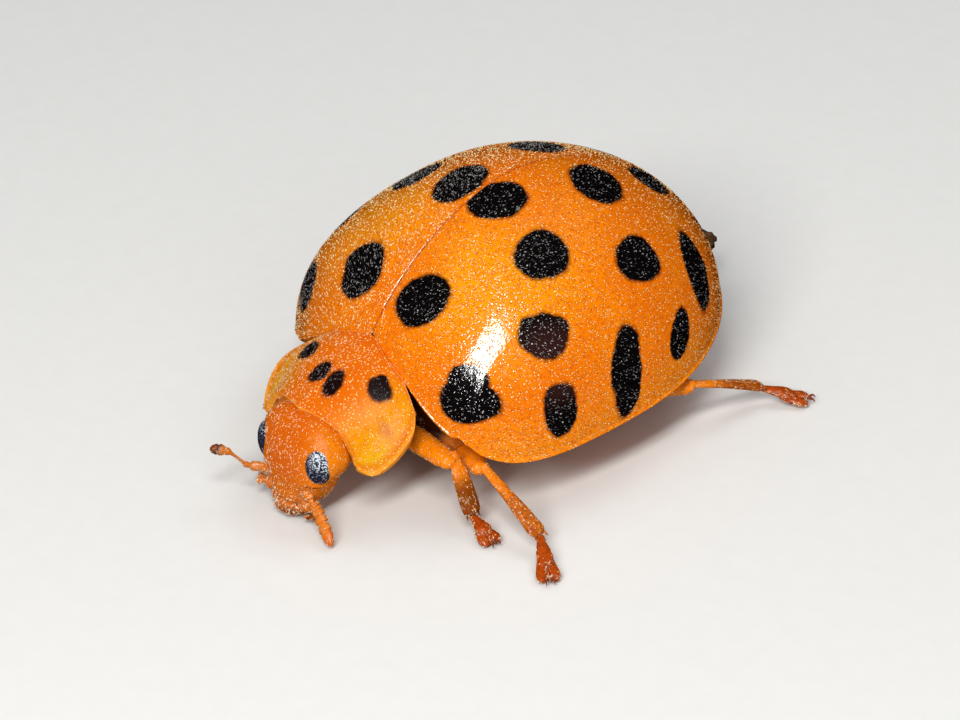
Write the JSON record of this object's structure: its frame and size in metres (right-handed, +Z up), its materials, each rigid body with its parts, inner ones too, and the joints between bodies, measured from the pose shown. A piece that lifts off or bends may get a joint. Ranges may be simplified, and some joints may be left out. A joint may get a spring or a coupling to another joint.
{
  "type": "ladybird",
  "caption": "Life-size still model of a hairy orange plant-eating ladybird with black spots, standing with its head lowered.",
  "frame": {"origin": "bottom centre of the whole animal's box, on the plane the feet stand on, under the middle of the back", "axes": "-Y towards the head, +X to the animal's own left side, +Z up from the ground"},
  "size_m": [0.0084, 0.0092, 0.0039],
  "materials": {
    "shell": "satin orange wing case with black spots",
    "neck_shield": "satin yellow-orange with small black spots",
    "head": "orange-red, with fine pale hair",
    "body": "orange-brown underside, with fine pale hair",
    "leg": "orange, with fine pale hair",
    "foot": "red-brown, with pale bristles",
    "feeler": "orange, the right club darker",
    "eye": "glossy black, finely faceted",
    "wing": "smoky brown membrane"
  },
  "bodies": {
    "root": {"elytron_left": "shell", "elytron_right": "shell", "scutellum": "shell", "wing_tips": "wing", "pronotum": "neck_shield", "prothorax": "body", "thorax": "body", "abdomen": "body", "head": "head", "labrum": "head", "palp_left": "feeler", "palp_right": "feeler", "eye_left": "eye", "eye_right": "eye", "antenna_left": "feeler", "antenna_right": "feeler", "femur_front_left": "leg", "tibia_front_left": "leg", "tarsus_front_left": "foot", "femur_mid_left": "leg", "tibia_mid_left": "leg", "tarsus_mid_left": "foot", "femur_hind_left": "leg", "tibia_hind_left": "leg", "tarsus_hind_left": "foot", "femur_front_right": "leg", "tibia_front_right": "leg", "tarsus_front_right": "foot", "femur_mid_right": "leg", "tibia_mid_right": "leg", "tarsus_mid_right": "foot", "femur_hind_right": "leg", "tibia_hind_right": "leg", "tarsus_hind_right": "foot"}
  },
  "joints": []
}
